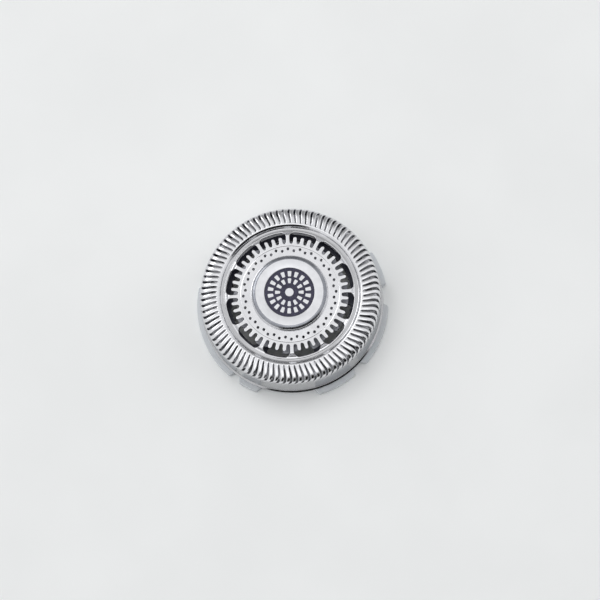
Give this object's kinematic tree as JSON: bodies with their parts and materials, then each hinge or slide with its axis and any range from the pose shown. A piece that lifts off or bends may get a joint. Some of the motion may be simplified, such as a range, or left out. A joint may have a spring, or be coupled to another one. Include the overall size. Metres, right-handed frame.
{
  "type": "rotary shaver head",
  "caption": "Round shaving head: slotted steel guard with toothed windows and fine holes, a raised satin cap, a lugged plastic ring, and a cutter that spins inside.",
  "frame": {"origin": "on the head's axis, on the surface that it rests on", "axes": "+Z along the head's axis, towards the guard's shaving face"},
  "size_m": [0.0346, 0.0332, 0.0099],
  "materials": {
    "guard_steel": "polished",
    "cap_metal": "satin",
    "inlay": "gloss",
    "bearing": "moulded",
    "holder": "translucent",
    "blade_steel": "ground",
    "carrier": "moulded"
  },
  "bodies": {
    "head": {"guard": "guard_steel", "centre_cap": "cap_metal", "cap_inlay": "inlay", "bearing_insert": "bearing", "holder_ring": "holder"},
    "cutter": {"cutter_carrier": "carrier", "outer_blade_ring": "blade_steel", "inner_blade_ring": "blade_steel"}
  },
  "joints": [
    {"name": "cutter_spin", "type": "hinge", "parent": "head", "child": "cutter", "pos_m": [0, 0, 0.0055], "axis": [0, 0, 1], "continuous": true}
  ]
}
